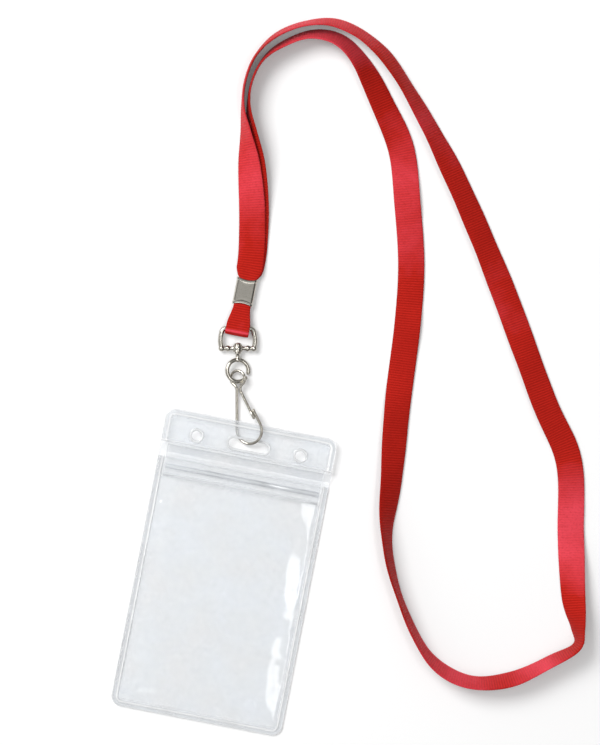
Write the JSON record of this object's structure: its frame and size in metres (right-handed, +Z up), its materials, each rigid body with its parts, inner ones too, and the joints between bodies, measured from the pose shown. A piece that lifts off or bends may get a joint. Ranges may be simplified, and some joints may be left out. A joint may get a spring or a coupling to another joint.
{
  "type": "lanyard badge holder",
  "caption": "Flat neck lanyard with a crimped end, D-ring and swivel wire hook with a sprung gate, which holds a clear vinyl badge pouch with a press-to-close zip mouth.",
  "frame": {"origin": "middle of the pouch's back, on the surface that it lies on", "axes": "+Y along the pouch from its bottom to its hook slot, +Z up from the surface to the front film, +X to the right of the pouch, where the neck loop lies"},
  "size_m": [0.1712, 0.2721, 0.01],
  "materials": {
    "webbing": "woven satin",
    "nickel": "polished",
    "vinyl": "clear"
  },
  "bodies": {
    "strap": {"neck_strap": "webbing", "strap_tab": "webbing", "crimp": "nickel"},
    "ring": {"d_ring": "nickel"},
    "swivel": {"swivel_eye": "nickel"},
    "hook": {"hook_wire": "nickel"},
    "gate": {"gate_arm": "nickel"},
    "pouch": {"back_sheet": "vinyl", "header_strip": "vinyl", "front_panel": "vinyl", "zip_groove": "vinyl"},
    "flap": {"mouth_flap": "vinyl", "zip_rib": "vinyl"}
  },
  "joints": [
    {"name": "d_ring_swing", "type": "hinge", "parent": "strap", "child": "ring", "pos_m": [-0.01246, 0.09183, 0.00195], "axis": [0.9816, 0.1908, 0], "range_deg": [-90, 90]},
    {"name": "swivel_spin", "type": "hinge", "parent": "ring", "child": "swivel", "pos_m": [-0.01101, 0.08437, 0.00195], "axis": [-0.1908, 0.9816, 0], "continuous": true},
    {"name": "hook_swing", "type": "hinge", "parent": "swivel", "child": "hook", "pos_m": [-0.0086, 0.072, 0.00195], "axis": [0.9436, 0.1834, -0.2756], "range_deg": [-35, 35]},
    {"name": "gate_squeeze", "type": "hinge", "parent": "hook", "child": "gate", "pos_m": [-0.00671, 0.06847, 0.00217], "axis": [0.3885, 0.1331, -0.9118], "range_deg": [0, 10], "stiffness_Nm_per_rad": 0.05},
    {"name": "pouch_turn", "type": "hinge", "parent": "hook", "child": "pouch", "pos_m": [0.0002, 0.0497, 0.00237], "axis": [0, 1, 0], "range_deg": [0, 110]},
    {"name": "mouth_open", "type": "hinge", "parent": "pouch", "child": "flap", "pos_m": [0, 0.0315, 0.00158], "axis": [1, 0, 0], "range_deg": [0, 35], "stiffness_Nm_per_rad": 0.003}
  ]
}
